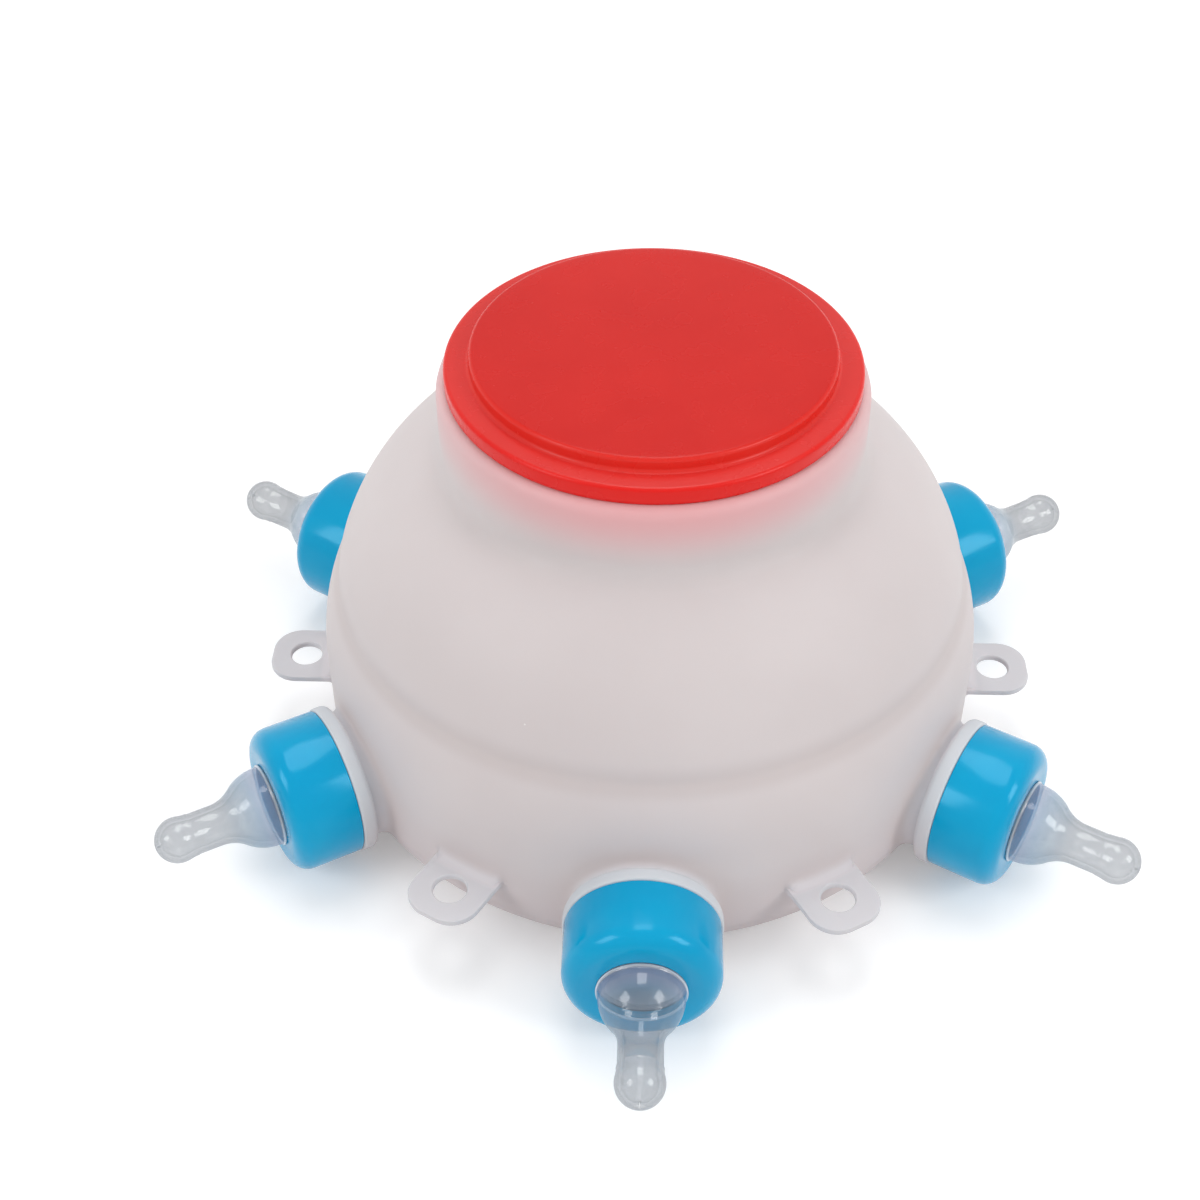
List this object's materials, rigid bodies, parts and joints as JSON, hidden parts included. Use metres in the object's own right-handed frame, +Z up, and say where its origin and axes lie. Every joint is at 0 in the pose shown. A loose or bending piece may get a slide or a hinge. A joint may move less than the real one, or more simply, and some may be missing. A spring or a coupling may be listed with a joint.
{
  "type": "multi teat lamb feeder",
  "caption": "Domed milk tank with a lift-off lid and a ring of screw-capped soft teats and drilled lugs round its foot, for feeding several lambs at once.",
  "frame": {"origin": "on the floor, under the middle of the tank", "axes": "+Z up through the filling mouth; the front teat points to -Y, +X is to the right seen from there"},
  "size_m": [0.2576, 0.2956, 0.1329],
  "materials": {
    "tank_plastic": "satin",
    "lid_plastic": "satin",
    "collar_plastic": "gloss",
    "teat_silicone": "satin"
  },
  "bodies": {
    "tank": {"tank": "tank_plastic"},
    "lid": {"lid": "lid_plastic"},
    "teat_front": {"teat_front": "teat_silicone"},
    "collar_front": {"collar_front": "collar_plastic"},
    "teat_front_right": {"teat_front_right": "teat_silicone"},
    "collar_front_right": {"collar_front_right": "collar_plastic"},
    "teat_rear_right": {"teat_rear_right": "teat_silicone"},
    "collar_rear_right": {"collar_rear_right": "collar_plastic"},
    "teat_rear": {"teat_rear": "teat_silicone"},
    "collar_rear": {"collar_rear": "collar_plastic"},
    "teat_rear_left": {"teat_rear_left": "teat_silicone"},
    "collar_rear_left": {"collar_rear_left": "collar_plastic"},
    "teat_front_left": {"teat_front_left": "teat_silicone"},
    "collar_front_left": {"collar_front_left": "collar_plastic"}
  },
  "joints": [
    {"name": "lid_lift", "type": "slide", "parent": "tank", "child": "lid", "axis": [0, 0, 1], "range_m": [0, 0.06]},
    {"name": "teat_front_draw", "type": "slide", "parent": "tank", "child": "teat_front", "axis": [0, -1, 0], "range_m": [0, 0.01]},
    {"name": "collar_front_turn", "type": "hinge", "parent": "teat_front", "child": "collar_front", "pos_m": [0, 0, 0.023], "axis": [0, -1, 0], "range_deg": [0, 720]},
    {"name": "teat_front_right_draw", "type": "slide", "parent": "tank", "child": "teat_front_right", "axis": [0.866, -0.5, 0], "range_m": [0, 0.01]},
    {"name": "collar_front_right_turn", "type": "hinge", "parent": "teat_front_right", "child": "collar_front_right", "pos_m": [0, 0, 0.023], "axis": [0.866, -0.5, 0], "range_deg": [0, 720]},
    {"name": "teat_rear_right_draw", "type": "slide", "parent": "tank", "child": "teat_rear_right", "axis": [0.866, 0.5, 0], "range_m": [0, 0.01]},
    {"name": "collar_rear_right_turn", "type": "hinge", "parent": "teat_rear_right", "child": "collar_rear_right", "pos_m": [0, 0, 0.023], "axis": [0.866, 0.5, 0], "range_deg": [0, 720]},
    {"name": "teat_rear_draw", "type": "slide", "parent": "tank", "child": "teat_rear", "axis": [0, 1, 0], "range_m": [0, 0.01]},
    {"name": "collar_rear_turn", "type": "hinge", "parent": "teat_rear", "child": "collar_rear", "pos_m": [0, 0, 0.023], "axis": [0, 1, 0], "range_deg": [0, 720]},
    {"name": "teat_rear_left_draw", "type": "slide", "parent": "tank", "child": "teat_rear_left", "axis": [-0.866, 0.5, 0], "range_m": [0, 0.01]},
    {"name": "collar_rear_left_turn", "type": "hinge", "parent": "teat_rear_left", "child": "collar_rear_left", "pos_m": [0, 0, 0.023], "axis": [-0.866, 0.5, 0], "range_deg": [0, 720]},
    {"name": "teat_front_left_draw", "type": "slide", "parent": "tank", "child": "teat_front_left", "axis": [-0.866, -0.5, 0], "range_m": [0, 0.01]},
    {"name": "collar_front_left_turn", "type": "hinge", "parent": "teat_front_left", "child": "collar_front_left", "pos_m": [0, 0, 0.023], "axis": [-0.866, -0.5, 0], "range_deg": [0, 720]}
  ],
  "couplings": [
    {"joint": "teat_front_draw", "follows": "collar_front_turn", "m_per_rad": 0.00079577},
    {"joint": "teat_front_right_draw", "follows": "collar_front_right_turn", "m_per_rad": 0.00079577},
    {"joint": "teat_rear_right_draw", "follows": "collar_rear_right_turn", "m_per_rad": 0.00079577},
    {"joint": "teat_rear_draw", "follows": "collar_rear_turn", "m_per_rad": 0.00079577},
    {"joint": "teat_rear_left_draw", "follows": "collar_rear_left_turn", "m_per_rad": 0.00079577},
    {"joint": "teat_front_left_draw", "follows": "collar_front_left_turn", "m_per_rad": 0.00079577}
  ]
}
